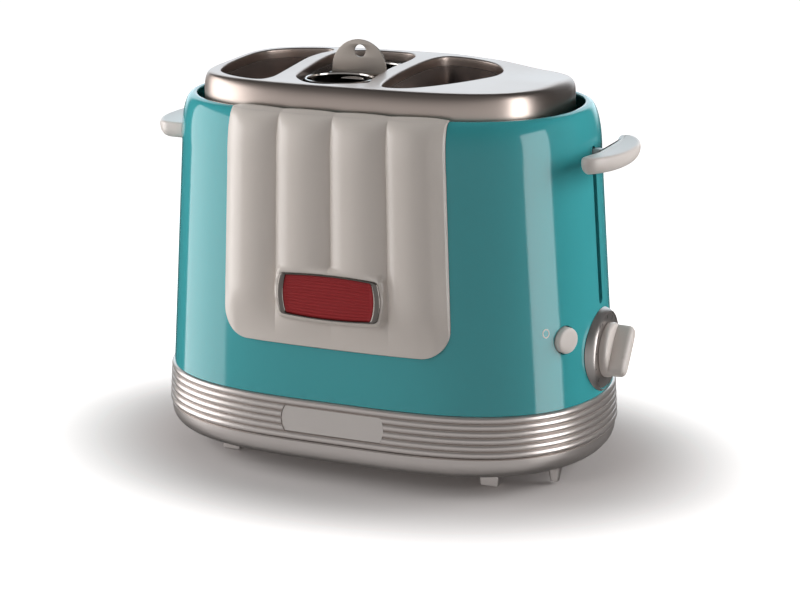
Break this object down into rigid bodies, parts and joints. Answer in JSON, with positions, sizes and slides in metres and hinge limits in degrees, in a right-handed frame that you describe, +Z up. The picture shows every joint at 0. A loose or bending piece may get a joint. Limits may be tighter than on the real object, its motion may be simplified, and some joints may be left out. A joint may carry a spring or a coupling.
{
  "type": "hot dog maker",
  "caption": "Table-top hot dog toaster with a bun bay on each side of a lift-out sausage basket, a sprung lever, a timer knob and a stop button.",
  "frame": {"origin": "bottom centre of the bounding box, on the table", "axes": "+Z up, +X towards the end with the lever and the timer knob, -Y towards the fluted front panel"},
  "size_m": [0.2938, 0.1792, 0.2433],
  "materials": {
    "silver": "satin silver paint on plastic",
    "teal": "glossy teal",
    "cream": "semi-gloss cream",
    "badge_rim": "polished",
    "badge_enamel": "glossy red",
    "cover_steel": "satin stainless sheet",
    "bright_steel": "bright stainless",
    "sheet_steel": "plated sheet",
    "machine_steel": "plain steel",
    "mica": "matt mica board",
    "heating_wire": "dull oxidised wire",
    "circuit_board": "green laminate",
    "dark_plastic": "matt black",
    "copper_wire": "enamelled copper winding",
    "rubber": "matt black"
  },
  "bodies": {
    "housing": {"base_pan": "silver", "base_band": "silver", "nameplate": "silver", "front_left_foot": "silver", "front_right_foot": "silver", "rear_left_foot": "silver", "rear_right_foot": "silver", "front_left_cord_post": "silver", "front_right_cord_post": "silver", "rear_left_cord_post": "silver", "rear_right_cord_post": "silver", "timer_bezel": "silver", "body_shell": "teal", "front_panel": "cream", "left_side_grip": "cream", "badge_bezel": "badge_rim", "badge_plate": "badge_enamel", "top_cover": "cover_steel", "left_bun_sleeve": "bright_steel", "right_bun_sleeve": "bright_steel", "basket_sleeve": "bright_steel", "chassis_floor": "sheet_steel", "left_chassis_plate": "sheet_steel", "right_chassis_plate": "sheet_steel", "front_heat_shield": "sheet_steel", "rear_heat_shield": "sheet_steel", "top_bracket": "sheet_steel", "guide_rod": "machine_steel", "lift_spring": "machine_steel", "magnet_core": "machine_steel", "left_outer_heater_card": "mica", "left_inner_heater_card": "mica", "right_inner_heater_card": "mica", "right_outer_heater_card": "mica", "left_outer_heater_wire": "heating_wire", "left_inner_heater_wire": "heating_wire", "right_inner_heater_wire": "heating_wire", "right_outer_heater_wire": "heating_wire", "control_board": "circuit_board", "timer_body": "dark_plastic", "stop_switch": "dark_plastic", "magnet_coil": "copper_wire", "cord_inlet": "rubber"},
    "carriage": {"lift_frame": "sheet_steel", "left_bun_rest": "bright_steel", "right_bun_rest": "bright_steel", "lever_arm": "sheet_steel", "lever_handle": "cream", "armature": "machine_steel"},
    "timer_knob": {"timer_knob": "cream", "timer_shaft": "machine_steel"},
    "stop_button": {"stop_button": "cream"},
    "basket": {"basket_frame": "bright_steel", "front_sausage_cage": "bright_steel", "rear_sausage_cage": "bright_steel"},
    "crumb_tray": {"crumb_tray": "bright_steel", "tray_front": "silver"}
  },
  "joints": [
    {"name": "carriage_slide", "type": "slide", "parent": "housing", "child": "carriage", "axis": [0, 0, -1], "range_m": [0, 0.081], "stiffness_N_per_m": 80, "springref_m": -0.06, "deforming": ["lift_spring"]},
    {"name": "timer_turn", "type": "hinge", "parent": "housing", "child": "timer_knob", "pos_m": [0.13109, 0.00251, 0.0732], "axis": [-1, 0, 0], "range_deg": [0, 270]},
    {"name": "stop_button_slide", "type": "slide", "parent": "housing", "child": "stop_button", "axis": [-0.8924, 0.4512, 0], "range_m": [0, 0.003], "stiffness_N_per_m": 400, "springref_m": -0.0025},
    {"name": "basket_lift", "type": "slide", "parent": "housing", "child": "basket", "axis": [0, 0, 1], "range_m": [0, 0.17]},
    {"name": "crumb_tray_slide", "type": "slide", "parent": "housing", "child": "crumb_tray", "axis": [0, 1, 0], "range_m": [0, 0.13]}
  ]
}
